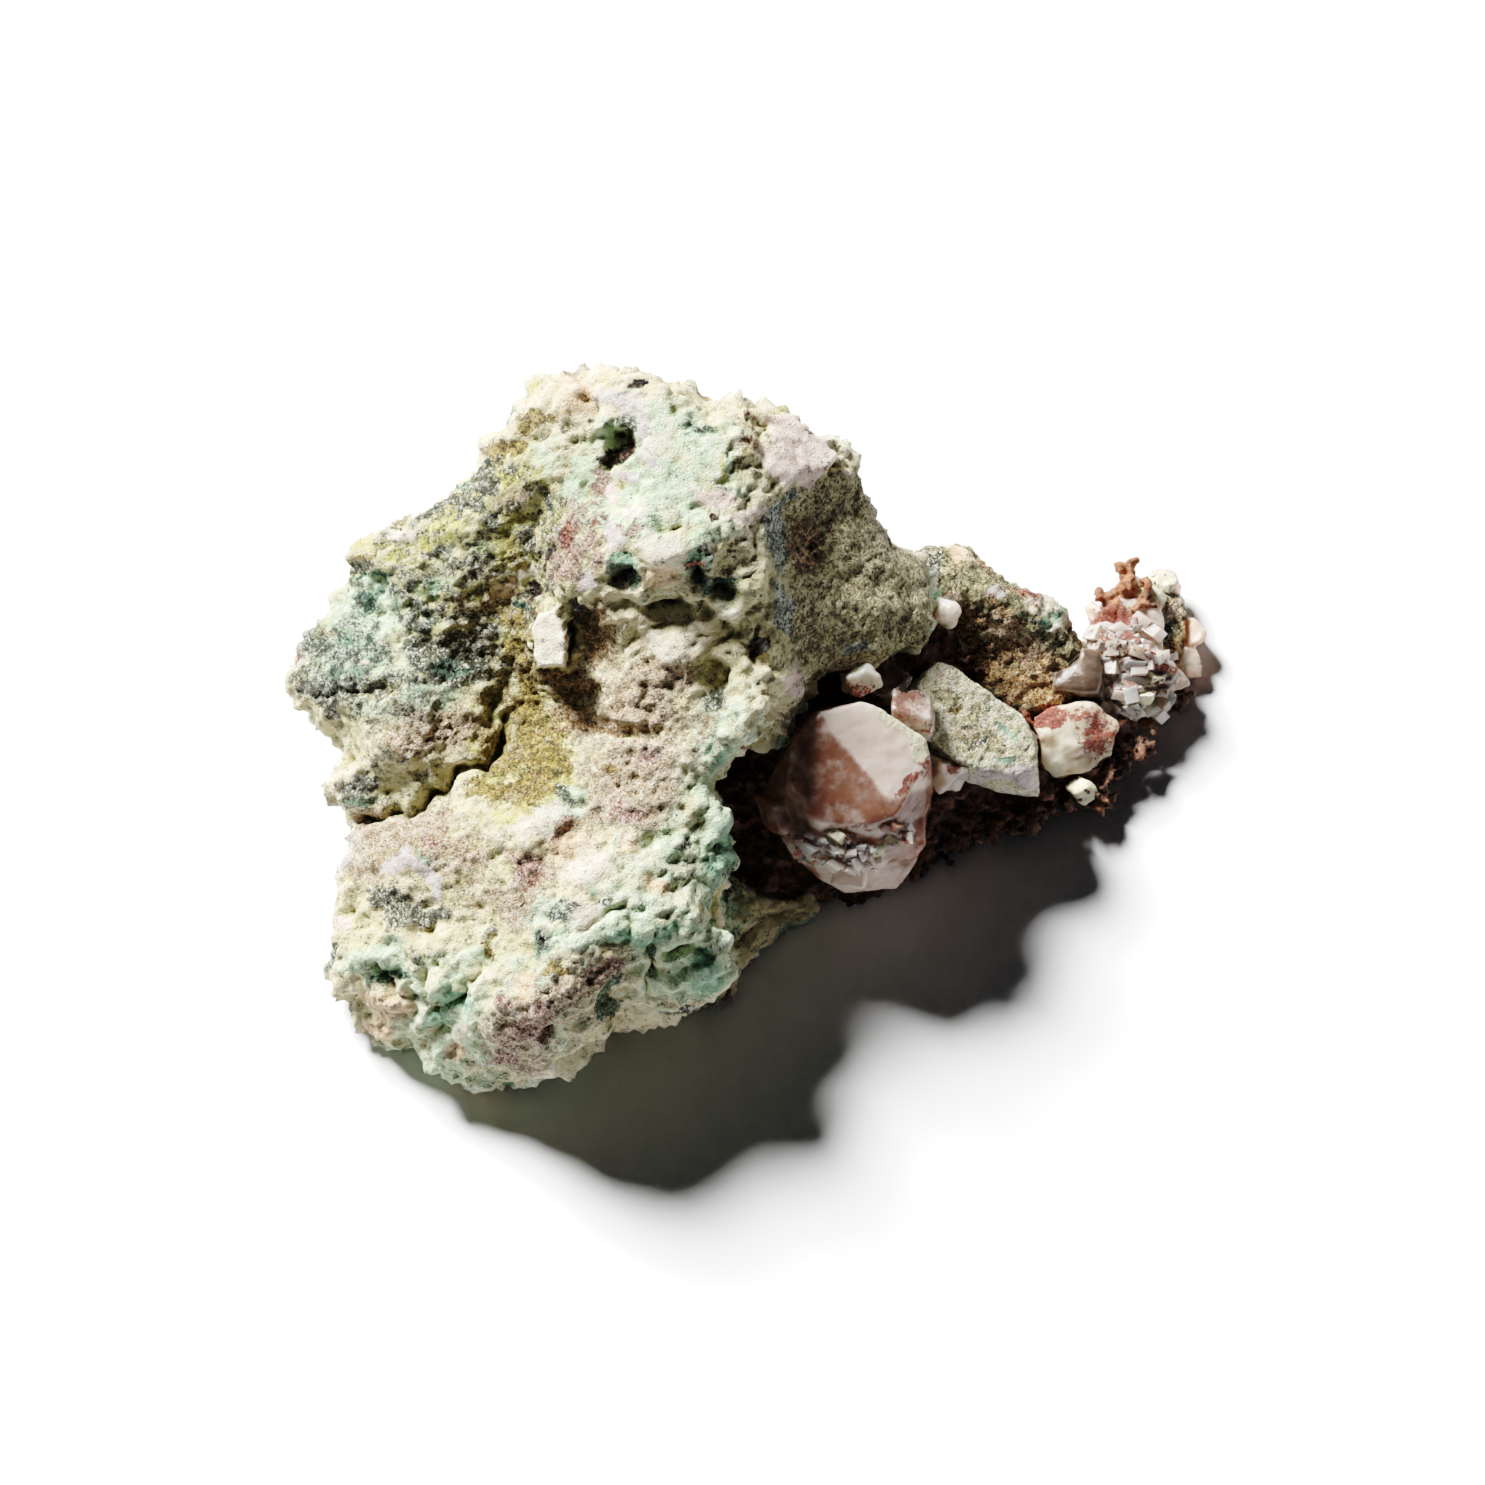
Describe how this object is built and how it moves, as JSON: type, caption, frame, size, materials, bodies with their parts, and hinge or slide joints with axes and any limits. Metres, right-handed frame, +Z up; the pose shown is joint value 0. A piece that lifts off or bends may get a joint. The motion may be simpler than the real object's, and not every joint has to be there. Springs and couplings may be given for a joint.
{
  "type": "native copper specimen",
  "caption": "Hand-sized mineral specimen: a pale green rock block with an arm of native copper that binds rock clasts and calcite crystals.",
  "frame": {"origin": "centre of the bounding box in plan, on the surface that the specimen rests on", "axes": "+Z up; +X from the rock block towards the end of the copper arm; +Y away from the viewer of the broad face"},
  "size_m": [0.0938, 0.069, 0.0375],
  "materials": {
    "matrix": "rough, granular, pale green and cream with dark sparkling specks",
    "clast": "rough, granular grey green",
    "calcite_pink": "glossy translucent pink calcite",
    "calcite_white": "glossy translucent white calcite",
    "calcite_grey": "glossy translucent grey calcite",
    "calcite_coated": "white calcite with a thin coat of copper",
    "copper": "dull oxidised native copper, dark brown with orange edges"
  },
  "bodies": {
    "root": {"matrix_block": "matrix", "clast_front": "clast", "clast_back": "clast", "clast_end": "clast", "calcite_large": "calcite_pink", "calcite_pink_blade": "calcite_pink", "calcite_pink_grain": "calcite_pink", "calcite_block_coated": "calcite_coated", "calcite_cluster_end": "calcite_white", "calcite_white_nodule": "calcite_white", "calcite_dark_grain": "calcite_grey", "calcite_grey_lens": "calcite_grey", "calcite_edge_grain": "calcite_white", "calcite_pale_grain": "calcite_white", "native_copper": "copper"}
  },
  "joints": []
}
